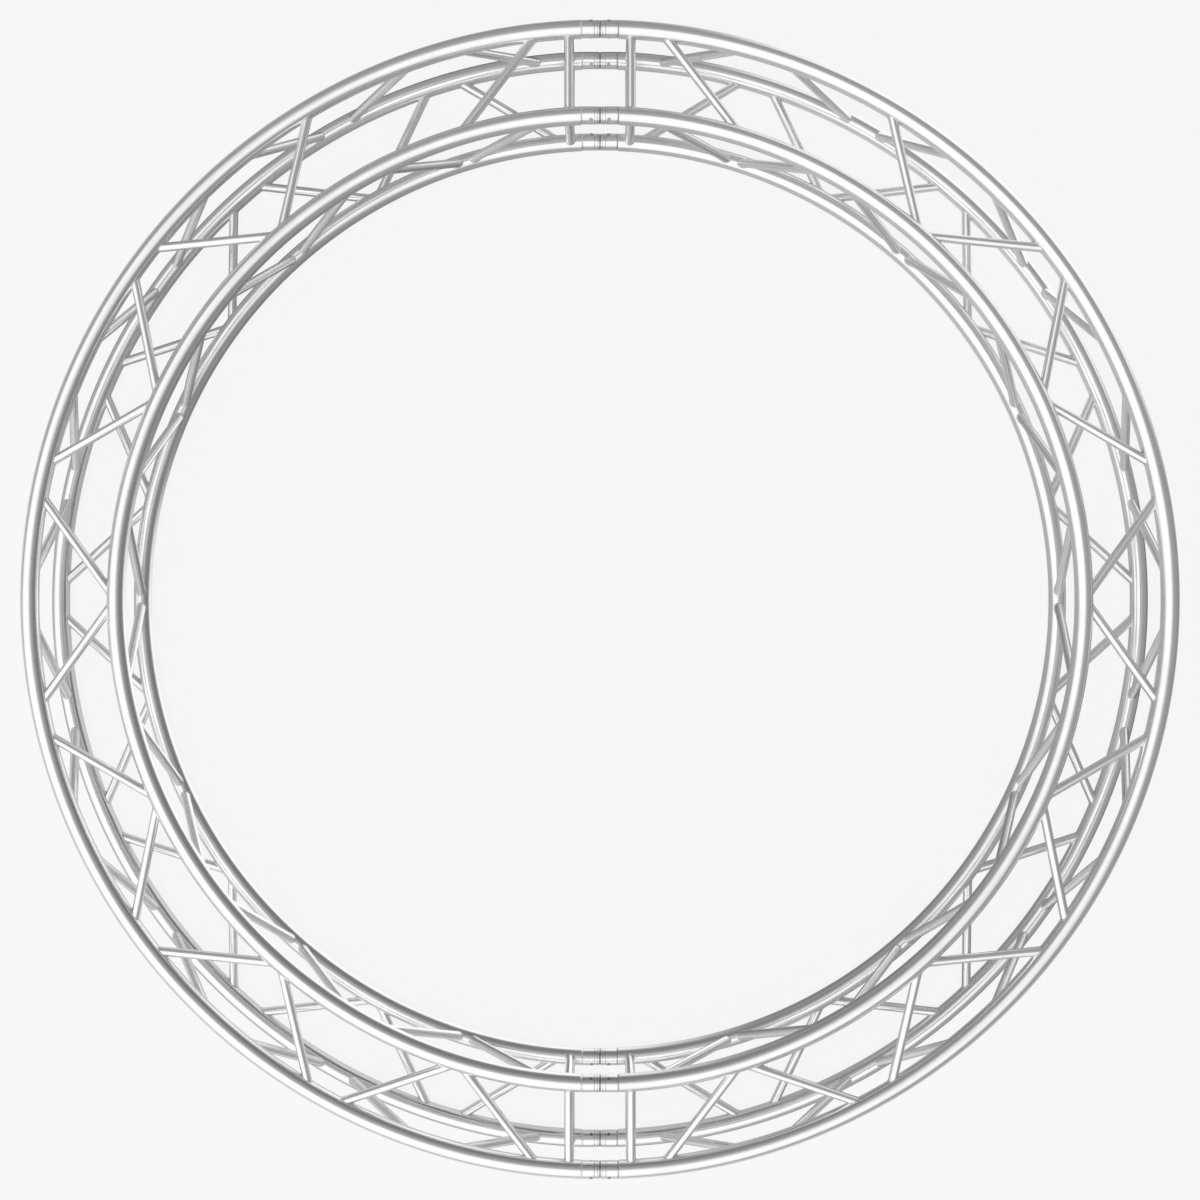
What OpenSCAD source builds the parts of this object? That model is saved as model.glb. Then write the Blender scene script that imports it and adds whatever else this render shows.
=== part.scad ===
// Square box truss bent to a full circle. Four round chords in a square section are tied by
// straight lacing braces in all four faces. The circle is made of two halves that butt at the
// rear (+Y) and the front (-Y). At each joint a double-cone coupler sits in the conical
// receivers of both halves and is locked by one taper pin on each side.
// The origin is the centre of the circle on the resting plane, and +Z is the circle's axis.

/* [Ring] */
// Radius of the outer chords, to the centre line
outer_r = 1587; // [1500:1:2400]
// Distance between the centre lines of neighbouring chords, across and up
chord_spacing = 240; // [220:1:260]

/* [Tubes] */
// Outside diameter of the chord tubes
chord_d = 50; // [48:0.5:51]
// Wall thickness of the chord tubes
chord_wall = 2; // [2:0.5:3]
// Outside diameter of the brace tubes
brace_d = 25; // [12:1:26]
// Wall thickness of the brace tubes
brace_wall = 2; // [1:0.5:3]
// Gap left for the weld root between a brace's coped end and the chord
weld_gap = 0.1; // [0.05:0.05:0.3]

/* [Lacing] */
// Angle between neighbouring lacing nodes, in degrees
node_step = 12.17; // [11.9:0.01:12.2]
// Distance from the node to where a brace's centre line meets an outer chord, top and bottom faces
outer_gap = 40; // [0:1:50]
// The same distance at an inner chord, top and bottom faces
inner_gap = -2; // [-6:1:30]
// The same distance at the lower chord of the outer face
outer_low_gap = 35; // [-6:1:40]
// The same distance at the upper chord of the outer face
outer_high_gap = 55; // [0:1:60]
// The same distance at the lower chord of the inner face
inner_low_gap = 3; // [-6:1:40]
// The same distance at the upper chord of the inner face
inner_high_gap = 33; // [0:1:45]
// Bay of the top face beside the rear joint that has no brace, or 99 for none
missing_brace = 5; // [5, 99]
// Distance of the end braces from the joint plane
end_brace_x = 87; // [84:1:92]

/* [Joints] */
// Length of a receiver that shows outside its chord
receiver_length = 52; // [50:1:60]
// Outside diameter of a receiver
receiver_d = 48; // [46:0.5:50]
// How far a receiver's straight axis sits outside the chord's centre line where they are welded
receiver_rise = 0.9; // [0:0.1:1]
// Length of the spigot that each receiver has inside its chord
spigot_length = 18; // [10:1:20]
// Diameter of the receiver's cone at its mouth
cone_d = 37.2; // [36:0.2:38]
// Taper of the cone, as loss of radius for each millimetre of depth
cone_taper = 0.0588; // [0.04:0.0001:0.07]
// Running clearance between coupler and receiver, on the radius
cone_clearance = 0.08; // [0.05:0.01:0.1]
// Distance of a taper pin from the joint plane
pin_x = 25; // [22:1:30]
// Mean diameter of a taper pin
pin_d = 9.9; // [9:0.1:11]
// Taper of the pin, as gain of radius for each millimetre of length
pin_taper = 0.01; // [0.005:0.001:0.015]
// Length of a taper pin
pin_length = 51; // [50:0.5:54]
// Running clearance round a taper pin, on the radius
pin_clearance = 0.05; // [0.02:0.01:0.1]

/* [Hidden] */
inner_r = outer_r - chord_spacing;
chord_r = chord_d / 2;
lower_z = chord_r;
upper_z = lower_z + chord_spacing;
cope_r = chord_r + weld_gap;
brace_r = brace_d / 2;
bays = 14;

// Distance of a joint's centre lines from the ring's centre, on the joint plane
function joint_y(r) = sqrt(r * r - receiver_length * receiver_length) + receiver_rise;

// Point on a chord's centre line at angle a, moved along the chord by the distance shift
function on_chord(r, z, a, shift = 0) =
    let (t = a + shift / r * 180 / PI) [r * cos(t), r * sin(t), z];

// A tube that runs round the arc from angle a0 to a1
module arc_solid(r, z, radius, a0, a1) {
    rotate([0, 0, a0]) rotate_extrude(angle = a1 - a0, $fn = 256)
        translate([r, z]) circle(r = radius, $fn = 48);
}

// One curved chord tube of one half, cut square to the joint's axis where the receivers start
module chord(r, z, side) {
    end_a = asin(receiver_length / r);
    color([0.80, 0.81, 0.82]) mirror([side < 0 ? 1 : 0, 0, 0]) difference() {
        rotate([0, 0, -90 + end_a - 0.2]) rotate_extrude(angle = 180 - 2 * end_a + 0.4, $fn = 256)
            translate([r, z]) difference() {
                circle(r = chord_r, $fn = 48);
                circle(r = chord_r - chord_wall, $fn = 48);
            }
        translate([-100, -r - 100, z - 50]) cube([100 + receiver_length, 2 * r + 200, 100]);
    }
}

// A straight brace tube between two points, each on the centre line of a chord
module brace_tube(p, q) {
    v = q - p;
    length = norm(v);
    translate(p) rotate([0, acos(v[2] / length), atan2(v[1], v[0])]) difference() {
        cylinder(r = brace_r, h = length, $fn = 32);
        translate([0, 0, -1]) cylinder(r = brace_r - brace_wall, h = length + 2, $fn = 32);
    }
}

// A brace tube whose ends are coped round the two chords that it ties
module brace(r1, z1, a1, s1, r2, z2, a2, s2) {
    difference() {
        brace_tube(on_chord(r1, z1, a1, s1), on_chord(r2, z2, a2, s2));
        arc_solid(r1, z1, cope_r, a1 - 4, a1 + 4);
        arc_solid(r2, z2, cope_r, a2 - 4, a2 + 4);
    }
}

// The zigzag of braces of the top or the bottom face of one half: odd_outer is 1 where the
// odd nodes are on the outer chord
module horizontal_lacing(z, odd_outer, side, skip = 99) {
    color([0.86, 0.87, 0.88]) mirror([side < 0 ? 1 : 0, 0, 0])
        for (k = [-bays / 2 : bays / 2 - 1]) if (k != skip) {
            outer_first = (abs(k) % 2) == odd_outer;
            ko = outer_first ? k : k + 1;
            ki = outer_first ? k + 1 : k;
            way = ki > ko ? 1 : -1;
            brace(outer_r, z, ko * node_step, way * outer_gap,
                  inner_r, z, ki * node_step, -way * inner_gap);
        }
}

// The zigzag of braces of the outer or the inner face of one half: odd_high is 1 where the
// odd nodes are on the upper chord
module vertical_lacing(r, odd_high, low_gap, high_gap, side) {
    color([0.86, 0.87, 0.88]) mirror([side < 0 ? 1 : 0, 0, 0])
        for (k = [-bays / 2 : bays / 2 - 1]) {
            high_first = (abs(k) % 2) == odd_high;
            kh = high_first ? k : k + 1;
            kl = high_first ? k + 1 : k;
            way = kl > kh ? 1 : -1;
            brace(r, upper_z, kh * node_step, way * high_gap,
                  r, lower_z, kl * node_step, -way * low_gap);
        }
}

// The four braces that square the end of one half beside a joint, parallel to the joint plane
module end_braces(end, side) {
    ao = 90 - asin(end_brace_x / outer_r);
    ai = 90 - asin(end_brace_x / inner_r);
    color([0.86, 0.87, 0.88]) mirror([side < 0 ? 1 : 0, 0, 0]) mirror([0, end < 0 ? 1 : 0, 0]) {
        brace(outer_r, upper_z, ao, 0, inner_r, upper_z, ai, 0);
        brace(outer_r, lower_z, ao, 0, inner_r, lower_z, ai, 0);
        brace(outer_r, upper_z, ao, 0, outer_r, lower_z, ao, 0);
        brace(inner_r, upper_z, ai, 0, inner_r, lower_z, ai, 0);
    }
}

// Places a joint piece, made along +Z from the joint plane, on one chord's axis at one joint
module at_joint(end, side, r, z) {
    translate([0, end * joint_y(r), z]) rotate([0, side * 90, 0]) children();
}

// Whether a pin leaves its chord towards the outside of the ring (1) or the inside (-1)
function pin_way(r, z) = (r == outer_r ? 1 : -1) * (z == upper_z ? 1 : -1);

// Places a shape made along +Z on the axis of one taper pin; +Z is the way the pin comes out
module on_pin_axis(end, side, r, z) {
    translate([side * pin_x, end * joint_y(r), z])
        rotate([-end * pin_way(r, z) * 45, 0, 0]) children();
}

// The tapered hole for one pin
module pin_hole(end, side, r, z) {
    reach = 32;
    on_pin_axis(end, side, r, z) translate([0, 0, -reach])
        cylinder(r1 = pin_d / 2 - pin_taper * reach + pin_clearance,
                 r2 = pin_d / 2 + pin_taper * reach + pin_clearance, h = 2 * reach, $fn = 48);
}

// The machined conical receiver welded to a chord's end, with two turned rings near its mouth
module receiver(end, side, r, z) {
    mouth = cone_d / 2;
    deep = mouth - cone_taper * 50;
    nose = receiver_d / 2;
    spigot = chord_r - chord_wall - 2;
    full = receiver_length + spigot_length;
    color([0.74, 0.75, 0.77]) difference() {
        at_joint(end, side, r, z) rotate_extrude($fn = 96) polygon([
            [mouth, 0], [nose - 2.4, 0], [nose, 2.4],
            [nose, 5.6], [nose - 1.1, 6.3], [nose - 1.1, 7.3], [nose, 8],
            [nose, 14], [nose - 1.2, 14.8], [nose - 1.2, 16.2], [nose, 17],
            [nose, receiver_length - 3], [nose - 2.6, receiver_length],
            [spigot, receiver_length], [spigot, full - 1],
            [spigot - 1, full], [deep, full], [deep, 50]
        ]);
        pin_hole(end, side, r, z);
    }
}

// The double cone that joins two receivers, cross-drilled for a pin on each side of the joint
module coupler(end, r, z) {
    big = cone_d / 2 - cone_clearance;
    reach = 48;
    small = big - cone_taper * reach;
    color([0.66, 0.67, 0.69]) difference() {
        at_joint(end, 1, r, z) rotate_extrude($fn = 96) polygon([
            [0, -reach], [small - 1, -reach], [small, -reach + 1],
            [big, 0], [small, reach - 1], [small - 1, reach], [0, reach]
        ]);
        pin_hole(end, 1, r, z);
        pin_hole(end, -1, r, z);
    }
}

// The taper pin, chamfered at both ends, with its thick end where it comes out
module pin(end, side, r, z) {
    h = pin_length / 2;
    thin = pin_d / 2 - pin_taper * h;
    thick = pin_d / 2 + pin_taper * h;
    color([0.55, 0.56, 0.58]) on_pin_axis(end, side, r, z) rotate_extrude($fn = 48) polygon([
        [0, -h], [thin - 0.6, -h], [thin, -h + 0.6], [thick, h - 0.6], [thick - 0.6, h], [0, h]
    ]);
}

chord(outer_r, upper_z, 1);  // right_outer_upper_chord
chord(inner_r, upper_z, 1);  // right_inner_upper_chord
chord(outer_r, lower_z, 1);  // right_outer_lower_chord
chord(inner_r, lower_z, 1);  // right_inner_lower_chord
chord(outer_r, upper_z, -1);  // left_outer_upper_chord
chord(inner_r, upper_z, -1);  // left_inner_upper_chord
chord(outer_r, lower_z, -1);  // left_outer_lower_chord
chord(inner_r, lower_z, -1);  // left_inner_lower_chord
horizontal_lacing(upper_z, 1, 1, skip = missing_brace);  // right_top_lacing
horizontal_lacing(lower_z, 0, 1);  // right_bottom_lacing
vertical_lacing(outer_r, 0, outer_low_gap, outer_high_gap, 1);  // right_outer_lacing
vertical_lacing(inner_r, 1, inner_low_gap, inner_high_gap, 1);  // right_inner_lacing
horizontal_lacing(upper_z, 1, -1, skip = missing_brace);  // left_top_lacing
horizontal_lacing(lower_z, 0, -1);  // left_bottom_lacing
vertical_lacing(outer_r, 0, outer_low_gap, outer_high_gap, -1);  // left_outer_lacing
vertical_lacing(inner_r, 1, inner_low_gap, inner_high_gap, -1);  // left_inner_lacing
end_braces(1, 1);  // rear_right_end_braces
end_braces(1, -1);  // rear_left_end_braces
end_braces(-1, 1);  // front_right_end_braces
end_braces(-1, -1);  // front_left_end_braces
receiver(1, 1, outer_r, upper_z);  // rear_right_outer_upper_receiver
receiver(1, 1, inner_r, upper_z);  // rear_right_inner_upper_receiver
receiver(1, 1, outer_r, lower_z);  // rear_right_outer_lower_receiver
receiver(1, 1, inner_r, lower_z);  // rear_right_inner_lower_receiver
receiver(1, -1, outer_r, upper_z);  // rear_left_outer_upper_receiver
receiver(1, -1, inner_r, upper_z);  // rear_left_inner_upper_receiver
receiver(1, -1, outer_r, lower_z);  // rear_left_outer_lower_receiver
receiver(1, -1, inner_r, lower_z);  // rear_left_inner_lower_receiver
receiver(-1, 1, outer_r, upper_z);  // front_right_outer_upper_receiver
receiver(-1, 1, inner_r, upper_z);  // front_right_inner_upper_receiver
receiver(-1, 1, outer_r, lower_z);  // front_right_outer_lower_receiver
receiver(-1, 1, inner_r, lower_z);  // front_right_inner_lower_receiver
receiver(-1, -1, outer_r, upper_z);  // front_left_outer_upper_receiver
receiver(-1, -1, inner_r, upper_z);  // front_left_inner_upper_receiver
receiver(-1, -1, outer_r, lower_z);  // front_left_outer_lower_receiver
receiver(-1, -1, inner_r, lower_z);  // front_left_inner_lower_receiver
coupler(1, outer_r, upper_z);  // rear_outer_upper_coupler
coupler(1, inner_r, upper_z);  // rear_inner_upper_coupler
coupler(1, outer_r, lower_z);  // rear_outer_lower_coupler
coupler(1, inner_r, lower_z);  // rear_inner_lower_coupler
coupler(-1, outer_r, upper_z);  // front_outer_upper_coupler
coupler(-1, inner_r, upper_z);  // front_inner_upper_coupler
coupler(-1, outer_r, lower_z);  // front_outer_lower_coupler
coupler(-1, inner_r, lower_z);  // front_inner_lower_coupler
pin(1, 1, outer_r, upper_z);  // rear_right_outer_upper_pin
pin(1, 1, inner_r, upper_z);  // rear_right_inner_upper_pin
pin(1, 1, outer_r, lower_z);  // rear_right_outer_lower_pin
pin(1, 1, inner_r, lower_z);  // rear_right_inner_lower_pin
pin(1, -1, outer_r, upper_z);  // rear_left_outer_upper_pin
pin(1, -1, inner_r, upper_z);  // rear_left_inner_upper_pin
pin(1, -1, outer_r, lower_z);  // rear_left_outer_lower_pin
pin(1, -1, inner_r, lower_z);  // rear_left_inner_lower_pin
pin(-1, 1, outer_r, upper_z);  // front_right_outer_upper_pin
pin(-1, 1, inner_r, upper_z);  // front_right_inner_upper_pin
pin(-1, 1, outer_r, lower_z);  // front_right_outer_lower_pin
pin(-1, 1, inner_r, lower_z);  // front_right_inner_lower_pin
pin(-1, -1, outer_r, upper_z);  // front_left_outer_upper_pin
pin(-1, -1, inner_r, upper_z);  // front_left_inner_upper_pin
pin(-1, -1, outer_r, lower_z);  // front_left_outer_lower_pin
pin(-1, -1, inner_r, lower_z);  // front_left_inner_lower_pin
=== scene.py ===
import math

import bpy
import numpy as np
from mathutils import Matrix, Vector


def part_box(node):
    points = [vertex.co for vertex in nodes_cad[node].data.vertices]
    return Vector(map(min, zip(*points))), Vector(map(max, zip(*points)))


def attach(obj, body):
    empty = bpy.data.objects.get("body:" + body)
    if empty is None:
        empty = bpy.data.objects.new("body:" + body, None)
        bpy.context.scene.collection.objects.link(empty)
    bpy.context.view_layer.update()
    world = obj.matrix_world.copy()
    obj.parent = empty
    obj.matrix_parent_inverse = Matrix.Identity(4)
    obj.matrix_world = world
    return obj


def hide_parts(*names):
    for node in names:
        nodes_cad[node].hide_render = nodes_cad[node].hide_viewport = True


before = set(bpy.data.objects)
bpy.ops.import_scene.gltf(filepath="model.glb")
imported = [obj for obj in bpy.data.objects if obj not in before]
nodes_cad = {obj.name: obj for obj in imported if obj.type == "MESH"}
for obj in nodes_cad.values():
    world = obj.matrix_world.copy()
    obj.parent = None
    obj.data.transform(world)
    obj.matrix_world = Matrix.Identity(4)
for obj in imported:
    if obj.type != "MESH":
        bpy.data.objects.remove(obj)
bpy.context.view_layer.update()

scene = bpy.context.scene
RNG = np.random.default_rng(12)

# ------------------------------------------------------------------ sizes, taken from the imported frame
_lo, _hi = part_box("right_outer_upper_chord")
TUBE_R = round((_hi[2] - _lo[2]) / 2, 4)
OUTER_R = round(_hi[0] - TUBE_R, 4)
UPPER_Z = round((_hi[2] + _lo[2]) / 2, 4)
JOIN_X = round(_lo[0], 4)                       # the plane where chords meet their receivers
_lo, _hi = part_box("right_inner_lower_chord")
INNER_R = round(_hi[0] - TUBE_R, 4)
LOWER_Z = round((_hi[2] + _lo[2]) / 2, 4)
_lo, _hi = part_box("rear_right_end_braces")
BRACE_R = round((_hi[0] - _lo[0]) / 2, 4)
END_X = round((_hi[0] + _lo[0]) / 2, 4)
TUBE_WALL = 0.002
BRACE_WALL = 0.002
COPE_R = TUBE_R + 0.0001

# the zigzag of the lacing, as in the CAD part
STEP = math.radians(12.17)
BAYS = range(-7, 7)
MISSING_TOP_BAY = 5
OUTER_GAP, INNER_GAP = 0.040, -0.002
OUTER_LOW, OUTER_HIGH = 0.035, 0.055
INNER_LOW, INNER_HIGH = 0.003, 0.033

RADIUS = {"outer": OUTER_R, "inner": INNER_R}
HEIGHT = {"upper": UPPER_Z, "lower": LOWER_Z}


# ------------------------------------------------------------------ mesh helpers
class Build:
    """Collects vertices, faces, per-corner UVs in metres and a per-vertex heat value."""

    def __init__(self):
        self.v, self.f, self.uv, self.heat, self.n = [], [], [], [], 0

    def add(self, verts, faces, uvs, heat=None):
        verts = np.asarray(verts, float).reshape(-1, 3)
        self.v.append(verts)
        self.heat.append(np.zeros(len(verts)) if heat is None else np.asarray(heat, float).reshape(-1))
        for quad in faces:
            self.f.append(quad + self.n)
        self.uv.extend(uvs)
        self.n += len(verts)

    def object(self, name, material, sharp=38.0):
        v = np.concatenate(self.v)
        faces = np.concatenate(self.f)
        uv = np.concatenate(self.uv)
        me = bpy.data.meshes.new(name)
        me.vertices.add(len(v))
        me.vertices.foreach_set("co", v.astype(np.float32).ravel())
        me.loops.add(faces.size)
        me.loops.foreach_set("vertex_index", faces.astype(np.int32).ravel())
        me.polygons.add(len(faces))
        me.polygons.foreach_set("loop_start", np.arange(0, faces.size, 4, dtype=np.int32))
        layer = me.uv_layers.new(name="metres")
        layer.data.foreach_set("uv", uv.astype(np.float32).ravel())
        me.attributes.new("heat", "FLOAT", "POINT").data.foreach_set(
            "value", np.concatenate(self.heat).astype(np.float32))
        me.update(calc_edges=True)
        me.shade_smooth()
        me.set_sharp_from_angle(angle=math.radians(sharp))
        me.validate()
        me.materials.append(material)
        ob = bpy.data.objects.new(name, me)
        scene.collection.objects.link(ob)
        return ob


def strip(a, b, n, ua, ub, va, vb, flip=False):
    """Quads between two closed rings of n vertices that start at a and b, with their UVs."""
    i = np.arange(n)
    j = (i + 1) % n
    quads = np.stack([a + i, a + j, b + j, b + i], 1)
    u0, u1 = ua[i], ua[i + 1]
    w0, w1 = ub[i], ub[i + 1]
    p0, p1 = va[i], va[j]
    q0, q1 = vb[i], vb[j]
    uv = np.stack([u0, p0, u1, p1, w1, q1, w0, q0], 1).reshape(n, 4, 2)
    if flip:
        quads = quads[:, ::-1]
        uv = uv[:, ::-1]
    return quads, uv.reshape(-1, 2)


def rings(build, ring_points, us, vs, heats=None, closed=True, flip=False):
    """A skin over a list of rings, each n points; closed joins the last ring to the first."""
    n = len(ring_points[0])
    m = len(ring_points)
    faces, uvs = [], []
    for k in range(m if closed else m - 1):
        nxt = (k + 1) % m
        q, uv = strip(k * n, nxt * n, n, us[k], us[nxt], vs[k], vs[nxt], flip)
        faces.append(q)
        uvs.append(uv)
    build.add(np.concatenate(ring_points), faces, uvs,
              None if heats is None else np.concatenate(heats))


def centre_distance(p, r, z):
    """Distance of points from the centre line of the chord of radius r at height z."""
    return np.hypot(np.hypot(p[..., 0], p[..., 1]) - r, p[..., 2] - z)


def chord_normal(p, r, z):
    rho = np.hypot(p[..., 0], p[..., 1])
    near = np.stack([p[..., 0] / rho * r, p[..., 1] / rho * r, np.full_like(rho, z)], -1)
    d = p - near
    return d / np.linalg.norm(d, axis=-1, keepdims=True)


def unit(v):
    return v / np.linalg.norm(v, axis=-1, keepdims=True)


def leave_chord(base, way, r, z, radius):
    """How far along way each point of base must go to be at radius from the chord's centre line."""
    a = np.zeros(len(base))
    b = np.full(len(base), 0.15)
    for _ in range(46):
        m = (a + b) / 2
        inside = centre_distance(base + m[:, None] * way, r, z) < radius
        a = np.where(inside, m, a)
        b = np.where(inside, b, m)
    return (a + b) / 2


def on_chord(r, z, angle, shift=0.0):
    t = angle + shift / r
    return np.array([r * math.cos(t), r * math.sin(t), z])


# ------------------------------------------------------------------ materials
def material(name, base, rough, metallic=1.0):
    m = bpy.data.materials.new(name)
    m.use_nodes = True
    nt = m.node_tree
    nt.nodes.clear()
    out = nt.nodes.new("ShaderNodeOutputMaterial")
    bsdf = nt.nodes.new("ShaderNodeBsdfPrincipled")
    bsdf.inputs["Base Color"].default_value = (*base, 1)
    bsdf.inputs["Metallic"].default_value = metallic
    bsdf.inputs["Roughness"].default_value = rough
    nt.links.new(bsdf.outputs["BSDF"], out.inputs["Surface"])
    m["maker"] = "code"
    return m, nt, bsdf


def node(nt, kind, inputs=None, **props):
    n = nt.nodes.new(kind)
    for key, value in props.items():
        setattr(n, key, value)
    for key, value in (inputs or {}).items():
        if isinstance(value, bpy.types.NodeSocket):
            nt.links.new(value, n.inputs[key])
        else:
            n.inputs[key].default_value = value
    return n


def math_node(nt, op, a, b=0.0, clamp=False):
    return node(nt, "ShaderNodeMath", {0: a, 1: b}, operation=op, use_clamp=clamp).outputs[0]


def scaled(nt, vector, scale):
    return node(nt, "ShaderNodeMapping", {"Vector": vector, "Scale": scale}).outputs[0]


def noise(nt, vector, scale, detail=2.0, rough=0.5):
    return node(nt, "ShaderNodeTexNoise", {"Vector": vector, "Scale": scale, "Detail": detail,
                                            "Roughness": rough}).outputs["Fac"]


def ramp(nt, fac, lo, hi, a=0.0, b=1.0, smooth=True):
    n = node(nt, "ShaderNodeMapRange", {"Value": fac, "From Min": lo, "From Max": hi,
                                        "To Min": a, "To Max": b})
    n.interpolation_type = "SMOOTHSTEP" if smooth else "LINEAR"
    return n.outputs[0]


def colour_mix(nt, fac, a, b):
    n = nt.nodes.new("ShaderNodeMix")
    n.data_type = "RGBA"
    for index, value in ((0, fac), (6, a), (7, b)):
        if isinstance(value, bpy.types.NodeSocket):
            nt.links.new(value, n.inputs[index])
        else:
            n.inputs[index].default_value = value if index == 0 else (*value, 1)
    return n.outputs[2]


def aluminium_tube(name, base, rough, line_depth):
    """Extruded tube: drawn lines along it, faint cloudiness, a few scuffs, dull metal beside welds."""
    m, nt, bsdf = material(name, base, rough)
    uv = node(nt, "ShaderNodeUVMap", uv_map="metres").outputs[0]
    obj = node(nt, "ShaderNodeTexCoord").outputs["Object"]
    heat = node(nt, "ShaderNodeAttribute", attribute_name="heat").outputs["Fac"]
    lines = noise(nt, scaled(nt, uv, (1500, 6, 1)), 1.0, 3.0, 0.65)
    coarse = noise(nt, scaled(nt, uv, (260, 1.3, 1)), 1.0, 2.0, 0.5)
    cloud = noise(nt, obj, 7.0, 3.0, 0.55)
    stain = ramp(nt, noise(nt, obj, 31.0, 2.0, 0.5), 0.60, 0.74)
    scuff_a = noise(nt, scaled(nt, uv, (70, 1100, 1)), 1.0, 1.0, 0.4)
    scuff_b = noise(nt, obj, 12.0, 1.0, 0.5)
    scuff = math_node(nt, "MULTIPLY", ramp(nt, scuff_a, 0.66, 0.76), ramp(nt, scuff_b, 0.56, 0.70))
    r = math_node(nt, "ADD", ramp(nt, lines, 0.3, 0.7, rough - 0.018, rough + 0.018),
                  ramp(nt, cloud, 0.3, 0.7, -0.02, 0.02))
    r = math_node(nt, "ADD", r, math_node(nt, "MULTIPLY", stain, 0.025))
    r = math_node(nt, "ADD", r, math_node(nt, "MULTIPLY", scuff, 0.08))
    r = math_node(nt, "ADD", r, math_node(nt, "MULTIPLY", heat, 0.13))
    nt.links.new(r, bsdf.inputs["Roughness"])
    dim = tuple(c * 0.955 for c in base)
    dull = tuple(c * 0.80 for c in base)
    tone = colour_mix(nt, ramp(nt, cloud, 0.35, 0.7), base, dim)
    tone = colour_mix(nt, math_node(nt, "MULTIPLY", heat, 0.55), tone, dull)
    nt.links.new(tone, bsdf.inputs["Base Color"])
    height = math_node(nt, "ADD", math_node(nt, "MULTIPLY", lines, 0.35), math_node(nt, "MULTIPLY", coarse, 0.65))
    height = math_node(nt, "ADD", height, math_node(nt, "MULTIPLY", scuff, -0.4))
    bump = node(nt, "ShaderNodeBump", {"Height": height, "Strength": 1.0, "Distance": line_depth})
    nt.links.new(bump.outputs[0], bsdf.inputs["Normal"])
    return m


def weld_metal(name, base, rough):
    """Weld bead: coarse grainy aluminium, darker where the heat value is high: between the ripples and along the brace
    beads' toes.
    """
    m, nt, bsdf = material(name, base, rough)
    obj = node(nt, "ShaderNodeTexCoord").outputs["Object"]
    heat = node(nt, "ShaderNodeAttribute", attribute_name="heat").outputs["Fac"]
    grain = noise(nt, obj, 900.0, 3.0, 0.6)
    blotch = noise(nt, obj, 120.0, 2.0, 0.5)
    r = math_node(nt, "ADD", ramp(nt, grain, 0.3, 0.7, rough - 0.07, rough + 0.07),
                  ramp(nt, blotch, 0.3, 0.7, -0.04, 0.06))
    nt.links.new(r, bsdf.inputs["Roughness"])
    dark = tuple(c * 0.62 for c in base)
    tone = colour_mix(nt, ramp(nt, heat, 0.25, 0.95), base, dark)
    tone = colour_mix(nt, ramp(nt, blotch, 0.45, 0.75, 0.0, 0.4), tone, tuple(c * 0.86 for c in base))
    nt.links.new(tone, bsdf.inputs["Base Color"])
    bump = node(nt, "ShaderNodeBump", {"Height": grain, "Strength": 1.0, "Distance": 0.00006})
    nt.links.new(bump.outputs[0], bsdf.inputs["Normal"])
    return m


def turned_metal(name, base, rough, pitch, depth, groove_shade=()):
    """Lathe-turned metal with feed marks across the joint's X axis, a few handling marks and, at each
    (x, half width, strength) of groove_shade, a patchy near-black line of painted shade in the notch or groove there."""
    m, nt, bsdf = material(name, base, rough)
    obj = node(nt, "ShaderNodeTexCoord").outputs["Object"]
    feed = node(nt, "ShaderNodeTexWave", {"Vector": obj, "Scale": 1 / pitch / 20 * math.pi, "Distortion": 0.35,
                                          "Detail": 2.0, "Detail Scale": 1.5}, wave_type="BANDS",
                bands_direction="X", wave_profile="SIN").outputs["Fac"]
    bands = noise(nt, scaled(nt, obj, (900, 3, 3)), 1.0, 2.0, 0.6)
    cloud = noise(nt, obj, 45.0, 3.0, 0.55)
    marks = noise(nt, scaled(nt, obj, (500, 160, 160)), 1.0, 2.0, 0.5)
    nick = ramp(nt, marks, 0.70, 0.78)
    r = math_node(nt, "ADD", ramp(nt, bands, 0.3, 0.7, rough - 0.03, rough + 0.03),
                  ramp(nt, cloud, 0.3, 0.7, -0.02, 0.03))
    r = math_node(nt, "ADD", r, math_node(nt, "MULTIPLY", nick, 0.10))
    nt.links.new(r, bsdf.inputs["Roughness"])
    tone = colour_mix(nt, ramp(nt, bands, 0.3, 0.7), base, tuple(c * 0.95 for c in base))
    tone = colour_mix(nt, math_node(nt, "MULTIPLY", nick, 0.5), tone, tuple(c * 0.75 for c in base))
    # painted shade: patchy near-black lines darken the joint gap, the collar grooves and the weld grooves
    if groove_shade:
        x = node(nt, "ShaderNodeSeparateXYZ", {0: obj}).outputs[0]
        streak = ramp(nt, noise(nt, scaled(nt, obj, (150, 130, 130)), 1.0, 2.0, 0.5), 0.30, 0.62, 0.35, 1.0)
        painted_shade = None
        for at, half, strength in groove_shade:
            gap = math_node(nt, "ABSOLUTE", math_node(nt, "SUBTRACT", x, at))
            line = ramp(nt, gap, half, half * 0.45, 0.0, strength)
            painted_shade = line if painted_shade is None else math_node(nt, "MAXIMUM", painted_shade, line)
        painted_shade = math_node(nt, "MULTIPLY", painted_shade, streak)
        tone = colour_mix(nt, painted_shade, tone, (0.035, 0.035, 0.036))
        r = math_node(nt, "ADD", r, math_node(nt, "MULTIPLY", painted_shade, 0.2))
        nt.links.new(r, bsdf.inputs["Roughness"])
    nt.links.new(tone, bsdf.inputs["Base Color"])
    height = math_node(nt, "ADD", math_node(nt, "MULTIPLY", feed, 0.5), math_node(nt, "MULTIPLY", bands, 0.5))
    bump = node(nt, "ShaderNodeBump", {"Height": height, "Strength": 1.0, "Distance": depth})
    nt.links.new(bump.outputs[0], bsdf.inputs["Normal"])
    return m


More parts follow.
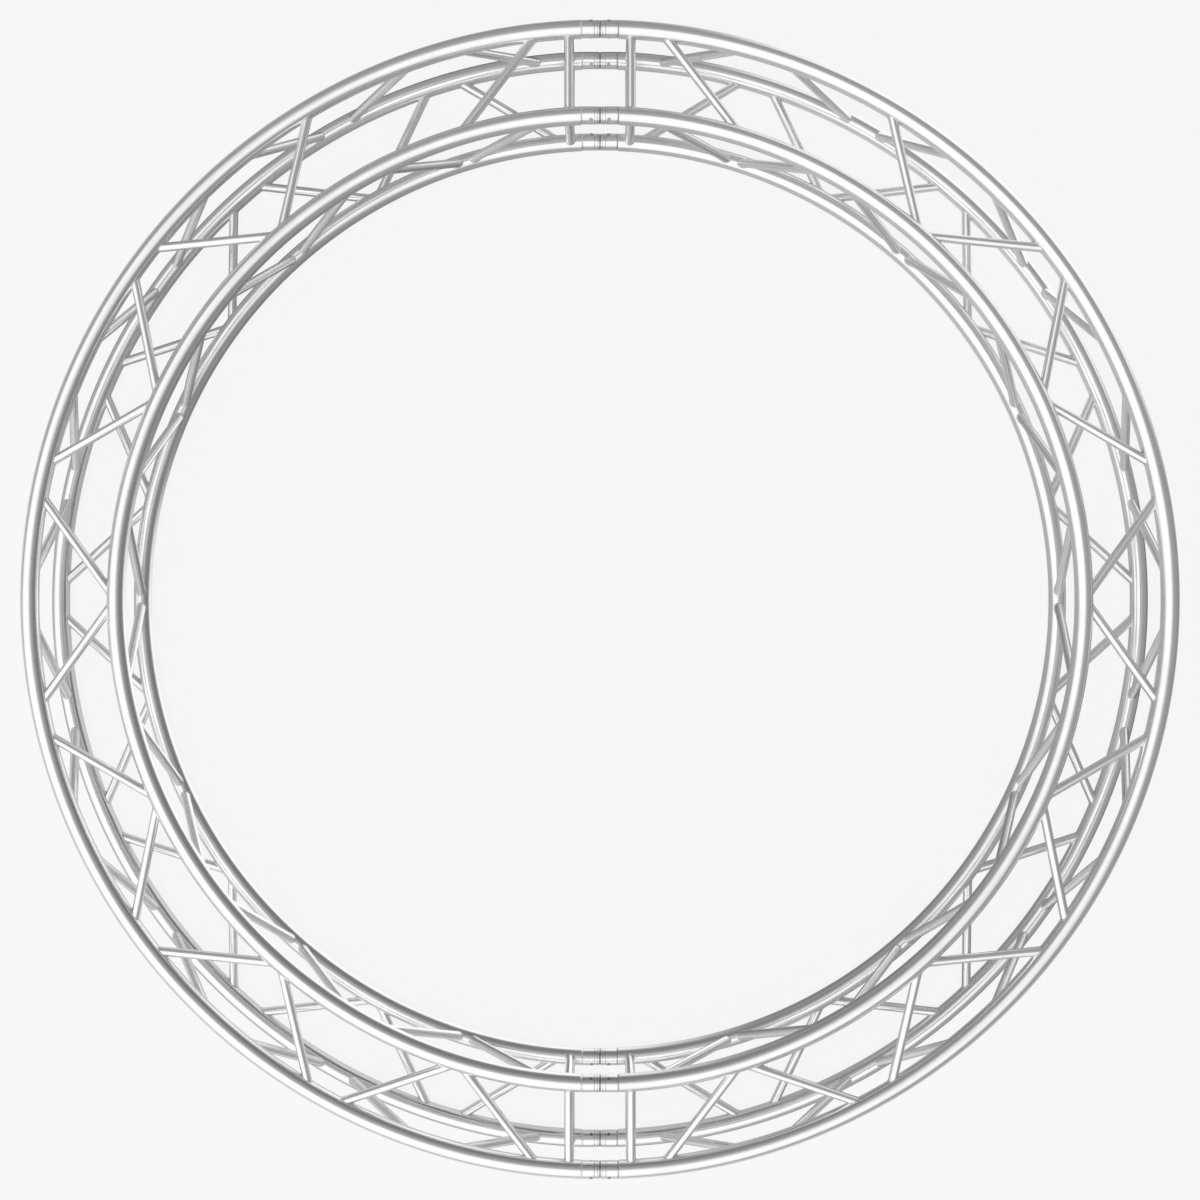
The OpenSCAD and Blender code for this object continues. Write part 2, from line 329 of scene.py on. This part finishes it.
def ground_steel(name, base, rough):
    """Ground steel pin with fine rings round its length and darker handling marks."""
    m, nt, bsdf = material(name, base, rough)
    obj = node(nt, "ShaderNodeTexCoord").outputs["Object"]
    rings_ = noise(nt, scaled(nt, obj, (60, 900, 900)), 1.0, 3.0, 0.6)
    cloud = noise(nt, obj, 140.0, 3.0, 0.5)
    r = math_node(nt, "ADD", ramp(nt, rings_, 0.3, 0.7, rough - 0.04, rough + 0.05),
                  ramp(nt, cloud, 0.35, 0.7, -0.02, 0.04))
    nt.links.new(r, bsdf.inputs["Roughness"])
    tone = colour_mix(nt, ramp(nt, cloud, 0.4, 0.72), base, tuple(c * 0.80 for c in base))
    nt.links.new(tone, bsdf.inputs["Base Color"])
    bump = node(nt, "ShaderNodeBump", {"Height": rings_, "Strength": 1.0, "Distance": 0.00001})
    nt.links.new(bump.outputs[0], bsdf.inputs["Normal"])
    return m


CHORD_METAL = aluminium_tube("chord_aluminium", (0.905, 0.908, 0.912), 0.19, 0.000008)
BRACE_METAL = aluminium_tube("brace_aluminium", (0.915, 0.918, 0.922), 0.20, 0.000008)
WELD_METAL = weld_metal("weld_aluminium", (0.78, 0.785, 0.79), 0.38)
DRESSED_WELD = weld_metal("dressed_weld_aluminium", (0.895, 0.898, 0.902), 0.25)
# painted shade in the receivers' joint gap, collar grooves and weld grooves: (x, half width, strength)
GROOVE_SHADE = ((0.0, 0.0024, 0.72), (0.0068, 0.0012, 0.12), (-0.0068, 0.0012, 0.32), (0.0155, 0.0014, 0.22),
         (-0.0155, 0.0014, 0.32), (0.0515, 0.0032, 0.92), (-0.0515, 0.0022, 0.12))
RECEIVER_METAL = turned_metal("turned_aluminium", (0.905, 0.908, 0.912), 0.185, 0.00025, 0.000002, GROOVE_SHADE)
COUPLER_METAL = turned_metal("coupler_aluminium", (0.82, 0.825, 0.835), 0.26, 0.00020, 0.000003)
PIN_METAL = ground_steel("pin_steel", (0.46, 0.462, 0.466), 0.24)


# ------------------------------------------------------------------ braces and their welds
class Seam:
    """Where one brace end meets a chord: points of the corner and the directions that leave it."""

    def __init__(self, c, nb, db, r, z):
        self.c = c
        self.nb = nb
        self.db = db
        self.nc = chord_normal(c, r, z)
        self.r, self.z = r, z


SEAMS = {}       # (chord radius, height, side) -> seam points, for the dull zone beside the welds


def brace(build, welds, r1, z1, p, r2, z2, q, side):
    """A brace tube from chord to chord, coped at both ends, and its two weld beads."""
    length = np.linalg.norm(q - p)
    d = (q - p) / length
    helper = np.array([0, 0, 1.0]) if abs(d[2]) < 0.9 else np.array([1.0, 0, 0])
    e1 = unit(np.cross(d, helper))
    e2 = np.cross(d, e1)
    n = 32
    theta = np.arange(n) / n * 2 * math.pi
    out = np.cos(theta)[:, None] * e1 + np.sin(theta)[:, None] * e2
    ring_list, us, vs, heats = [], [], [], []
    turn = np.arange(n + 1) / n * 2 * math.pi * BRACE_R
    drift = RNG.uniform(0, 50)                       # moves the grain from brace to brace

    def place(base, t):
        ring_list.append(base + t[:, None] * d)
        us.append(turn + drift)
        vs.append(t + drift)

    for radius in (BRACE_R, BRACE_R - BRACE_WALL):
        base = p + out * radius
        t1 = leave_chord(base, d, r1, z1, COPE_R)
        t2 = length - leave_chord(q + out * radius, -d, r2, z2, COPE_R)
        if radius == BRACE_R:
            stops = [(t1, 1.0), (t1.max() + 0.004, 0.55), (t1.max() + 0.012, 0.1), (t1.max() + 0.024, 0.0),
                     (t2.min() - 0.024, 0.0), (t2.min() - 0.012, 0.1), (t2.min() - 0.004, 0.55), (t2, 1.0)]
        else:
            stops = [(t2, 1.0), (t1, 1.0)]
        for t, h in stops:
            place(base, np.full(n, t) if np.isscalar(t) else t)
            heats.append(np.full(n, h))
    rings(build, ring_list, us, vs, heats, closed=True)
    # weld beads on the two corners
    m = 112
    phi = np.arange(m) / m * 2 * math.pi
    nb = np.cos(phi)[:, None] * e1 + np.sin(phi)[:, None] * e2
    for base, way, r, z in ((p, d, r1, z1), (q, -d, r2, z2)):
        t = leave_chord(base + nb * BRACE_R, way, r, z, TUBE_R)
        c = base + nb * BRACE_R + t[:, None] * way
        seam = Seam(c, nb, np.tile(way, (m, 1)), r, z)
        bead(welds, seam)
        SEAMS.setdefault((r, z, side), []).append(c[::8])


def bead(build, seam, leg=0.0025):
    """A rippled fillet bead round one brace end."""
    c, nb, db, nc = seam.c, seam.nb, seam.db, seam.nc
    w = unit(nb - (nb * nc).sum(1, keepdims=True) * nc)
    m = len(c)
    along = np.concatenate([[0], np.cumsum(np.linalg.norm(np.roll(c, -1, 0) - c, axis=1))])
    total = along[-1]
    count = max(16, round(total / 0.0023))
    phase = along[:-1] / total * count + RNG.uniform(0, 1)
    saw = phase - np.floor(phase)
    ripple = np.where(saw < 0.7, np.sin(saw / 0.7 * math.pi / 2), np.cos((saw - 0.7) / 0.3 * math.pi / 2))
    slow = 1 + 0.07 * np.sin(phi_of(m) + RNG.uniform(0, 6)) + 0.05 * np.sin(3 * phi_of(m) + RNG.uniform(0, 6))
    gamma = np.arccos(np.clip((db * w).sum(1), -1, 1))
    a = leg * slow * np.clip(1.25 / (2 * np.sin(gamma / 2)), 0.8, 1.7)
    a = a * (0.94 + 0.10 * ripple)
    bis = unit(db + w)
    toe_b = c + a[:, None] * db - 0.0003 * nb
    toe_c = c + a[:, None] * w - 0.0003 * nc
    root = c - 0.0004 * unit(nb + nc)
    lift = (leg * (0.10 + 0.20 * ripple) * slow)[:, None]
    span = toe_c - toe_b
    pts = [root, toe_b,
           toe_b + 0.22 * span + 0.75 * lift * bis,
           toe_b + 0.50 * span + 1.00 * lift * bis,
           toe_b + 0.78 * span + 0.75 * lift * bis,
           toe_c]
    k = len(pts)
    ring_list = [np.stack([pts[j][i] for j in range(k)]) for i in range(m)]
    u = np.arange(k + 1) * 0.0012
    us = [u] * m
    vs = [np.full(k, along[i]) for i in range(m)]
    heats = [np.full(k, 1 - ripple[i]) for i in range(m)]
    heats_ = []
    for i in range(m):
        h = np.full(k, 1 - ripple[i])
        h[[1, k - 1]] = 1.0
        heats_.append(h)
    # the ring order decides which way the skin faces
    inward = np.cross(np.roll(c, -1, 0)[0] - c[0], toe_b[0] - root[0]) @ (nb[0]) > 0
    rings(build, ring_list, us, vs, heats_, closed=True, flip=bool(inward))


def phi_of(m):
    return np.arange(m) / m * 2 * math.pi


def mirrored(p, side):
    return p * np.array([side, 1, 1])


def horizontal_face(z, odd_outer, skip, side):
    for k in BAYS:
        if k == skip:
            continue
        outer_first = (abs(k) % 2) == odd_outer
        ko, ki = (k, k + 1) if outer_first else (k + 1, k)
        way = 1 if ki > ko else -1
        p = on_chord(OUTER_R, z, ko * STEP, way * OUTER_GAP)
        q = on_chord(INNER_R, z, ki * STEP, -way * INNER_GAP)
        yield OUTER_R, z, mirrored(p, side), INNER_R, z, mirrored(q, side)


def vertical_face(r, odd_high, low, high, side):
    for k in BAYS:
        high_first = (abs(k) % 2) == odd_high
        kh, kl = (k, k + 1) if high_first else (k + 1, k)
        way = 1 if kl > kh else -1
        p = on_chord(r, UPPER_Z, kh * STEP, way * high)
        q = on_chord(r, LOWER_Z, kl * STEP, -way * low)
        yield r, UPPER_Z, mirrored(p, side), r, LOWER_Z, mirrored(q, side)


def end_face(end, side):
    ao = math.pi / 2 - math.asin(END_X / OUTER_R)
    ai = math.pi / 2 - math.asin(END_X / INNER_R)
    flip = np.array([side, end, 1])
    for r1, z1, a1, r2, z2, a2 in ((OUTER_R, UPPER_Z, ao, INNER_R, UPPER_Z, ai),
                                   (OUTER_R, LOWER_Z, ao, INNER_R, LOWER_Z, ai),
                                   (OUTER_R, UPPER_Z, ao, OUTER_R, LOWER_Z, ao),
                                   (INNER_R, UPPER_Z, ai, INNER_R, LOWER_Z, ai)):
        yield r1, z1, on_chord(r1, z1, a1) * flip, r2, z2, on_chord(r2, z2, a2) * flip


def lacing(name, pieces, side):
    tubes, welds = Build(), Build()
    for r1, z1, p, r2, z2, q in pieces:
        brace(tubes, welds, r1, z1, p, r2, z2, q, side)
    ob = tubes.object(name + "_tubes", BRACE_METAL)
    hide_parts(name)
    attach(ob, "ring")
    wd = welds.object(name + "_welds", WELD_METAL, sharp=75)
    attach(wd, "ring")


for side, word in ((1, "right"), (-1, "left")):
    lacing(word + "_top_lacing", horizontal_face(UPPER_Z, 1, MISSING_TOP_BAY, side), side)
    lacing(word + "_bottom_lacing", horizontal_face(LOWER_Z, 0, 99, side), side)
    lacing(word + "_outer_lacing", vertical_face(OUTER_R, 0, OUTER_LOW, OUTER_HIGH, side), side)
    lacing(word + "_inner_lacing", vertical_face(INNER_R, 1, INNER_LOW, INNER_HIGH, side), side)
    for end, place_word in ((1, "rear"), (-1, "front")):
        lacing(f"{place_word}_{word}_end_braces", end_face(end, side), side)


# ------------------------------------------------------------------ chord tubes
def chord(side, r, z):
    """A half circle of tube, its ends cut on the plane where the receivers start."""
    build = Build()
    n, m_out, m_in = 64, 481, 97
    phi = np.arange(n) / n * 2 * math.pi
    seams = np.concatenate(SEAMS[(r, z, side)])
    ring_list, us, vs, heats = [], [], [], []
    chamfer = 0.0012
    for radius, count in ((TUBE_R, m_out), (TUBE_R - TUBE_WALL, m_in)):
        turn = np.arange(n + 1) / n * 2 * math.pi * radius
        reach = r + radius * np.cos(phi)
        cut = JOIN_X + (chamfer if radius == TUBE_R else 0)
        top = np.arccos(cut / reach)
        share = np.linspace(-1, 1, count)
        if radius != TUBE_R:
            share = share[::-1]
        block = []
        for s in share:
            t = top * s
            pts = np.stack([reach * np.cos(t), reach * np.sin(t), z + radius * np.sin(phi)], 1)
            block.append((pts * np.array([side, 1, 1]), turn, r * t))
        if radius == TUBE_R:
            # the small bevel at each end, prepared for the weld
            low = TUBE_R - chamfer
            rl = r + low * np.cos(phi)
            tl = np.arccos(JOIN_X / rl)
            for s, at in ((-1, 0), (1, len(block))):
                t = tl * s
                pts = np.stack([rl * np.cos(t), rl * np.sin(t), z + low * np.sin(phi)], 1)
                block.insert(at if s < 0 else len(block), (pts * np.array([side, 1, 1]), turn, r * t))
        for pts, u, v in block:
            ring_list.append(pts)
            us.append(u)
            vs.append(v)
    allp = np.concatenate(ring_list)
    heat = np.zeros(len(allp))
    outer_count = (m_out + 2) * n
    for c in np.array_split(seams, max(1, len(seams) // 200)):
        lo, hi = c.min(0) - 0.05, c.max(0) + 0.05
        near = np.where(((allp[:outer_count] > lo) & (allp[:outer_count] < hi)).all(1))[0]
        if len(near):
            dist = np.sqrt(((allp[near][:, None, :] - c[None]) ** 2).sum(2)).min(1)
            heat[near] = np.maximum(heat[near], np.exp(-(dist / 0.009) ** 2))
    end_dist = np.abs(np.abs(allp[:, 0]) - JOIN_X)
    heat = np.maximum(heat, (0.9 if side > 0 else 0.25) * np.exp(-(end_dist / 0.006) ** 2))
    rings(build, ring_list, us, vs, list(heat.reshape(len(ring_list), n)), closed=True, flip=side > 0)
    return build


for side, word in ((1, "right"), (-1, "left")):
    for where, r in RADIUS.items():
        for level, z in HEIGHT.items():
            name = f"{word}_{where}_{level}_chord"
            ob = chord(side, r, z).object(name + "_tube", CHORD_METAL)
            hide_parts(name)
            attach(ob, "ring")


# ------------------------------------------------------------------ welds between chords and receivers
def groove_weld(build, side, box, root, crown):
    """The rippled bead in the groove between a receiver and its chord, from radius root to crown."""
    (_, y0, z0), (_, y1, z1) = box
    y, z = (y0 + y1) / 2, (z0 + z1) / 2
    m, k = 288, 10
    phi = phi_of(m)
    count = round(2 * math.pi * crown / 0.0026)
    phase = phi / (2 * math.pi) * count
    saw = phase - np.floor(phase)
    ripple = np.where(saw < 0.7, np.sin(saw / 0.7 * math.pi / 2), np.cos((saw - 0.7) / 0.3 * math.pi / 2))
    psi = np.arange(k) / k * 2 * math.pi
    mid, half = (root + crown) / 2, (crown - root) / 2
    wide = 0.0006 + 0.42 * (crown - root)
    ring_list, us, vs, heats = [], [], [], []
    for i in range(m):
        rr = mid + half * np.sin(psi) * (0.90 + 0.12 * ripple[i]) + 0.00012 * math.sin(2 * phi[i])
        xx = JOIN_X - 0.0008 + wide * np.cos(psi) * (0.85 + 0.15 * np.sin(psi)) + 0.0002 * ripple[i]
        ring_list.append(np.stack([side * xx, y + rr * math.cos(phi[i]), z + rr * math.sin(phi[i])], 1))
        us.append(np.arange(k + 1) * 0.001)
        vs.append(np.full(k, phi[i] * TUBE_R))
        heats.append(np.full(k, 1 - ripple[i]))
    rings(build, ring_list, us, vs, heats, closed=True, flip=side < 0)


# the right half is welded low in the groove, the left half nearly flush and dressed
for side, word, crown in ((1, "right", 0.0228), (-1, "left", 0.0240)):
    for place_word in ("rear", "front"):
        build = Build()
        for where in RADIUS:
            for level in HEIGHT:
                groove_weld(build, side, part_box(f"{place_word}_{word}_{where}_{level}_receiver"), 0.0212, crown)
        ob = build.object(f"{place_word}_{word}_receiver_welds", WELD_METAL if side > 0 else DRESSED_WELD, sharp=75)
        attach(ob, "ring")


# ------------------------------------------------------------------ machined pieces kept from the CAD
for name, ob in nodes_cad.items():
    metal = (RECEIVER_METAL if name.endswith("_receiver") else COUPLER_METAL if name.endswith("_coupler")
             else PIN_METAL if name.endswith("_pin") else None)
    if metal is not None:
        ob.data.materials.clear()
        ob.data.materials.append(metal)


# ------------------------------------------------------------------ floor, light and camera
WHITE = 0.9301          # the pale ground of the picture, in linear light

world = bpy.data.worlds.new("studio")
scene.world = world
world.use_nodes = True
wt = world.node_tree
wt.nodes.clear()
direction = node(wt, "ShaderNodeTexCoord").outputs["Generated"]


def dot(vec):
    return node(wt, "ShaderNodeVectorMath", {0: direction, 1: vec}, operation="DOT_PRODUCT").outputs["Value"]


def towards(tilt, azimuth):
    t, a = math.radians(tilt), math.radians(azimuth)
    return np.array([math.sin(t) * math.cos(a), math.sin(t) * math.sin(a), math.cos(t)])


def softbox(tilt, azimuth, half_up, half_across, soft, level):
    """A soft-edged rectangle of light on the sky, facing the ring."""
    k = towards(tilt, azimuth)
    a = np.array([-math.sin(math.radians(azimuth)), math.cos(math.radians(azimuth)), 0.0])
    b = np.cross(k, a)
    c = math_node(wt, "MAXIMUM", dot(tuple(k)), 0.02)
    u = math_node(wt, "ABSOLUTE", math_node(wt, "DIVIDE", dot(tuple(a)), c))
    v = math_node(wt, "ABSOLUTE", math_node(wt, "DIVIDE", dot(tuple(b)), c))
    edges = []
    for x, half in ((u, half_across), (v, half_up)):
        edges.append(ramp(wt, x, math.tan(math.radians(max(1, half - soft))),
                          math.tan(math.radians(min(86, half + soft))), 1.0, 0.0))
    facing = ramp(wt, dot(tuple(k)), 0.03, 0.12)
    return math_node(wt, "MULTIPLY", math_node(wt, "MULTIPLY", math_node(wt, "MULTIPLY", edges[0], edges[1]), facing), level)


def lobe(tilt, azimuth, sharpness, level):
    """A round soft glow: level * exp(sharpness * (cos(angle) - 1))."""
    e = math_node(wt, "MULTIPLY", math_node(wt, "SUBTRACT", dot(tuple(towards(tilt, azimuth))), 1.0), sharpness)
    return math_node(wt, "MULTIPLY", math_node(wt, "EXPONENT", e), level)


across = dot(tuple(towards(90, 45)))
height = dot((0.0, 0.0, 1.0))
flat = math_node(wt, "SQRT", math_node(wt, "MAXIMUM", math_node(wt, "SUBTRACT", 1.0, math_node(wt, "MULTIPLY", height, height)), 0.001))
along = math_node(wt, "DIVIDE", across, flat)                  # cosine of the azimuth, from 45 degrees
upper = math_node(wt, "ADD", math_node(wt, "MULTIPLY", across, -0.03), 0.32)
upper = math_node(wt, "ADD", math_node(wt, "MULTIPLY", height, 0.05), upper)
lower = math_node(wt, "POWER", math_node(wt, "MAXIMUM", math_node(wt, "MULTIPLY", along, -1.0), 0.0), 1.3)
lower = math_node(wt, "ADD", math_node(wt, "MULTIPLY", lower, 0.31), 0.23)
below = ramp(wt, height, 0.09, -0.26)
light = math_node(wt, "ADD", math_node(wt, "MULTIPLY", upper, math_node(wt, "SUBTRACT", 1.0, below)),
                  math_node(wt, "MULTIPLY", lower, below))
fill = math_node(wt, "MULTIPLY", ramp(wt, along, 0.37, 0.77), ramp(wt, height, 0.0, -0.42, 0.0, 0.85))
beyond = math_node(wt, "DIVIDE", dot(tuple(towards(90, 48))), flat)
band = math_node(wt, "MULTIPLY", ramp(wt, beyond, 0.835, 0.93), ramp(wt, height, 0.375, 0.215, 0.0, 0.72))
for part in (softbox(39.5, 228, 43.5, 49.5, 9.5, 0.64),
             lobe(41, 225, 3.0, 0.20),
             math_node(wt, "MAXIMUM", fill, band)):
    light = math_node(wt, "ADD", light, part)
seen = node(wt, "ShaderNodeLightPath").outputs["Is Camera Ray"]
level = math_node(wt, "ADD", math_node(wt, "MULTIPLY", light, math_node(wt, "SUBTRACT", 1.0, seen)),
                  math_node(wt, "MULTIPLY", seen, WHITE))
background = node(wt, "ShaderNodeBackground", {"Color": (1, 1, 1, 1), "Strength": level})
wt.links.new(background.outputs[0], node(wt, "ShaderNodeOutputWorld").inputs["Surface"])

# pale polished floor: mostly even white, with a faint mirror of the ring and a faint contact shade
floor_mat = bpy.data.materials.new("pale_floor")
floor_mat.use_nodes = True
ft = floor_mat.node_tree
ft.nodes.clear()
shade = node(ft, "ShaderNodeBsdfPrincipled", {"Base Color": (0.055, 0.055, 0.055, 1), "Roughness": 0.12,
                                              "IOR": 1.30, "Emission Color": (1, 1, 1, 1),
                                              "Emission Strength": 0.876})
ft.links.new(shade.outputs[0], node(ft, "ShaderNodeOutputMaterial").inputs["Surface"])
fm = bpy.data.meshes.new("floor")
half = 30.0
fm.from_pydata([(-half, -half, -0.0004), (half, -half, -0.0004), (half, half, -0.0004), (-half, half, -0.0004)],
               [], [(0, 1, 2, 3)])
fm.materials.append(floor_mat)
floor = bpy.data.objects.new("floor", fm)
scene.collection.objects.link(floor)
floor.visible_glossy = False
floor.visible_diffuse = False
floor.visible_shadow = False

# two cards that only the metal sees: a pale ground round the ring, and a dim curtain inside it that
# only shows to what looks across the ring
AZ_FAR = ((0, .25), (10, .29), (20, .62), (30, 1.0), (40, 1.08), (60, 1.08), (70, .9), (80, .42), (90, .28),
          (105, .27), (120, .34), (140, .42), (160, .48), (180, .50), (200, .60), (225, .72), (245, .70),
          (260, .58), (280, .56), (300, .50), (320, .42), (340, .31))
AZ_NEAR = ((0, .40), (10, .45), (20, .80), (30, 1.08), (60, 1.08), (70, 1.05), (80, .54), (90, .43), (105, .43),
           (120, .50), (140, .56), (160, .64), (180, .72), (200, .73), (225, .72), (250, .72), (270, .72),
           (290, .66), (310, .58), (330, .50), (350, .42))
AZ_UNDER = ((0, .35), (20, .6), (30, 1.0), (60, 1.0), (70, .8), (90, .35), (135, .45), (225, .70), (315, .45))
AZ_WITHIN = ((0, .46), (15, .54), (30, .58), (60, .58), (75, .53), (90, .47), (105, .40), (120, .34), (135, .27),
             (150, .30), (165, .42), (180, .50), (195, .62), (210, .66), (240, .66), (255, .62), (270, .55),
             (285, .46), (300, .36), (315, .28), (330, .29), (345, .40))
AZ_CURTAIN = ((315, 1.5), (0, 1.12), (45, 1.0), (90, 1.12), (135, 1.5))


def by_azimuth(table, degrees):
    return np.interp(degrees, [a for a, _ in table], [v for _, v in table], period=360)


def card(name, degrees, profile, closed, one_sided):
    """A shell of revolution that glows by vertex level, seen by glossy rays only."""
    n = len(degrees)
    verts, levels, solids, faces = [], [], [], []
    for r, z, solid, level in profile:
        verts += [(r * math.cos(a), r * math.sin(a), z) for a in np.radians(degrees)]
        levels += list(level)
        solids += list(solid * np.ones(n))
    for k in range(len(profile) - 1):
        for i in range(n if closed else n - 1):
            j = (i + 1) % n
            faces.append((k * n + i, (k + 1) * n + i, (k + 1) * n + j, k * n + j))
    me = bpy.data.meshes.new(name)
    me.from_pydata(verts, [], faces)
    me.attributes.new("level", "FLOAT", "POINT").data.foreach_set("value", np.array(levels, np.float32))
    me.attributes.new("solid", "FLOAT", "POINT").data.foreach_set("value", np.array(solids, np.float32))
    mat = bpy.data.materials.new(name)
    mat.use_nodes = True
    nt = mat.node_tree
    nt.nodes.clear()
    level = node(nt, "ShaderNodeAttribute", attribute_name="level").outputs["Fac"]
    solid = node(nt, "ShaderNodeAttribute", attribute_name="solid").outputs["Fac"]
    if one_sided:
        front = math_node(nt, "SUBTRACT", 1.0, node(nt, "ShaderNodeNewGeometry").outputs["Backfacing"])
        solid = math_node(nt, "MULTIPLY", solid, front)
    glow = node(nt, "ShaderNodeEmission", {"Color": (1, 1, 1, 1), "Strength": level}).outputs[0]
    through = nt.nodes.new("ShaderNodeBsdfTransparent").outputs[0]
    mix = node(nt, "ShaderNodeMixShader", {0: solid, 1: through, 2: glow}).outputs[0]
    nt.links.new(mix, node(nt, "ShaderNodeOutputMaterial").inputs["Surface"])
    me.materials.append(mat)
    ob = bpy.data.objects.new(name, me)
    scene.collection.objects.link(ob)
    ob.visible_camera = False
    ob.visible_diffuse = False
    ob.visible_shadow = False


deg = np.arange(0, 360, 2.5)
far_l, near_l = by_azimuth(AZ_FAR, deg), by_azimuth(AZ_NEAR, deg)
under_l = near_l * by_azimuth(AZ_UNDER, deg)
within_l = by_azimuth(AZ_WITHIN, deg)
card("ground_card", deg, ((1.36, -0.004, 1, within_l), (1.53, -0.004, 1, within_l), (1.60, -0.004, 1, under_l), (1.78, -0.004, 1, under_l), (1.93, -0.004, 1, near_l),
                          (2.20, -0.004, 1, near_l), (3.0, -0.004, 1, far_l), (14.0, -0.004, 1, far_l)), True, False)
deg = np.arange(-60, 151, 2.5)
curtain_l = by_azimuth(AZ_CURTAIN, deg)
edge = np.clip(np.minimum(deg + 60, 150 - deg) / 18, 0, 1)
card("curtain_card", deg, ((1.05, -0.30, edge, 0.25 * curtain_l), (1.05, 0.10, edge, 0.25 * curtain_l),
                           (1.05, 0.35, edge, 0.22 * curtain_l), (1.05, 0.80, edge, 0.18 * curtain_l),
                           (1.05, 1.40, edge, 0.18 * curtain_l), (1.05, 2.30, edge, 0.22 * curtain_l),
                           (1.05, 3.20, edge, 0.26 * curtain_l), (1.05, 4.60, edge * 0, 0.30 * curtain_l)), False, True)

cam_data = bpy.data.cameras.new("camera")
cam_data.sensor_width = 36.0
cam_data.lens = 44.52
cam_data.clip_start = 0.01
cam_data.clip_end = 200.0
cam = bpy.data.objects.new("camera", cam_data)
cam.location = (0.0, -0.0019, 4.396)
scene.collection.objects.link(cam)
scene.camera = cam
scene.view_settings.view_transform = "Standard"
scene.view_settings.look = "None"
scene.view_settings.exposure = 0.0
scene.view_settings.gamma = 1.0
